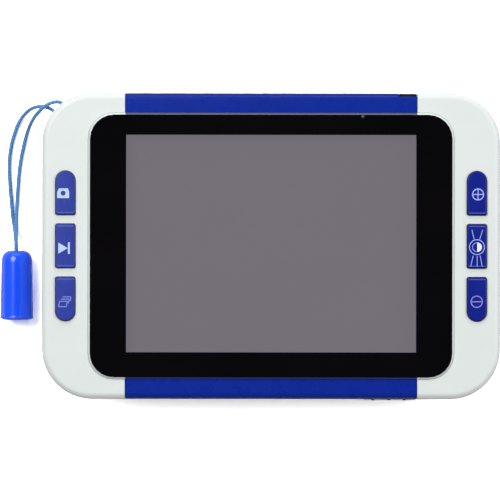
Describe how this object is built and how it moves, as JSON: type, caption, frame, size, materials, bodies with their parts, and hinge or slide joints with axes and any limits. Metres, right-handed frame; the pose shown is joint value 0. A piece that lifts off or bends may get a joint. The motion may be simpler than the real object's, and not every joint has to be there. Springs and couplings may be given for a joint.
{
  "type": "video magnifier",
  "caption": "Handheld electronic magnifier with a wide screen, sprung side keys, a camera and lamps on its back, a sliding battery door, a charging flap and a wrist strap.",
  "frame": {"origin": "on the table under the middle of the body, with the object lying on its feet and its screen up", "axes": "+X to the right of the screen, +Y up the screen, +Z out of the screen"},
  "size_m": [0.1224, 0.0747, 0.0193],
  "materials": {
    "white_shell": "satin, light cool white",
    "blue_belt": "satin, dark blue",
    "black_window": "gloss acrylic, black border round a clear view",
    "black_foam": "matt",
    "lcd_glass": "blank screen, faintly lit, even grey",
    "steel": "satin",
    "circuit_board": "solder resist",
    "black_plastic": "satin",
    "blue_key": "satin, mid blue",
    "clear_plastic": "polished, clear",
    "lens_glass": "polished",
    "battery_wrap": "wrapped cell, light grey",
    "blue_rubber": "moulded, dark blue",
    "grey_rubber": "moulded, dark grey",
    "strap_cord": "braided cord",
    "bright_blue_cap": "gloss, bright blue"
  },
  "bodies": {
    "body": {"front_shell": "white_shell", "rear_shell": "white_shell", "top_trim": "blue_belt", "bottom_trim": "blue_belt", "rear_centre_panel": "blue_belt", "screen_window": "black_window", "screen_gasket": "black_foam", "lcd_panel": "lcd_glass", "lcd_frame": "steel", "usb_socket": "steel", "case_screw_1": "steel", "case_screw_2": "steel", "case_screw_3": "steel", "case_screw_4": "steel", "main_board": "circuit_board", "left_key_board": "circuit_board", "right_key_board": "circuit_board", "camera_sensor": "circuit_board", "led_board": "circuit_board", "processor_chip": "black_plastic", "memory_chip": "black_plastic", "camera_holder": "black_plastic", "speaker": "black_plastic", "battery_contacts": "black_plastic", "audio_jack": "black_plastic", "power_switch": "black_plastic", "snapshot_switch": "black_plastic", "playback_switch": "black_plastic", "gallery_switch": "black_plastic", "zoom_in_switch": "black_plastic", "contrast_switch": "black_plastic", "zoom_out_switch": "black_plastic", "camera_window": "clear_plastic", "indicator_light": "clear_plastic", "camera_led_1": "clear_plastic", "camera_led_2": "clear_plastic", "camera_led_3": "clear_plastic", "camera_led_4": "clear_plastic", "camera_lens": "lens_glass", "battery_pack": "battery_wrap", "rubber_foot_1": "grey_rubber", "rubber_foot_2": "grey_rubber", "rubber_foot_3": "grey_rubber", "rubber_foot_4": "grey_rubber", "strap_cord_upper": "strap_cord", "strap_cord_lower": "strap_cord", "strap_end_cap": "bright_blue_cap"},
    "snapshot_key": {"snapshot_key": "blue_key"},
    "playback_key": {"playback_key": "blue_key"},
    "gallery_key": {"gallery_key": "blue_key"},
    "zoom_in_key": {"zoom_in_key": "blue_key"},
    "contrast_key": {"contrast_key": "blue_key"},
    "zoom_out_key": {"zoom_out_key": "blue_key"},
    "power_button": {"power_button": "blue_key"},
    "port_flap": {"port_flap": "blue_rubber"},
    "battery_door": {"battery_door": "blue_belt"}
  },
  "joints": [
    {"name": "snapshot_press", "type": "slide", "parent": "body", "child": "snapshot_key", "axis": [0, 0, -1], "range_m": [0, 0.0005], "stiffness_N_per_m": 300},
    {"name": "playback_press", "type": "slide", "parent": "body", "child": "playback_key", "axis": [0, 0, -1], "range_m": [0, 0.0005], "stiffness_N_per_m": 300},
    {"name": "gallery_press", "type": "slide", "parent": "body", "child": "gallery_key", "axis": [0, 0, -1], "range_m": [0, 0.0005], "stiffness_N_per_m": 300},
    {"name": "zoom_in_press", "type": "slide", "parent": "body", "child": "zoom_in_key", "axis": [0, 0, -1], "range_m": [0, 0.0005], "stiffness_N_per_m": 300},
    {"name": "contrast_press", "type": "slide", "parent": "body", "child": "contrast_key", "axis": [0, 0, -1], "range_m": [0, 0.0005], "stiffness_N_per_m": 300},
    {"name": "zoom_out_press", "type": "slide", "parent": "body", "child": "zoom_out_key", "axis": [0, 0, -1], "range_m": [0, 0.0005], "stiffness_N_per_m": 300},
    {"name": "power_press", "type": "slide", "parent": "body", "child": "power_button", "axis": [0, -1, 0], "range_m": [0, 0.0005], "stiffness_N_per_m": 300},
    {"name": "port_flap_hinge", "type": "hinge", "parent": "body", "child": "port_flap", "pos_m": [0.02895, -0.037, 0.0065], "axis": [1, 0, 0], "range_deg": [0, 90]},
    {"name": "battery_door_slide", "type": "slide", "parent": "body", "child": "battery_door", "axis": [0, -1, 0], "range_m": [0, 0.036]}
  ]
}
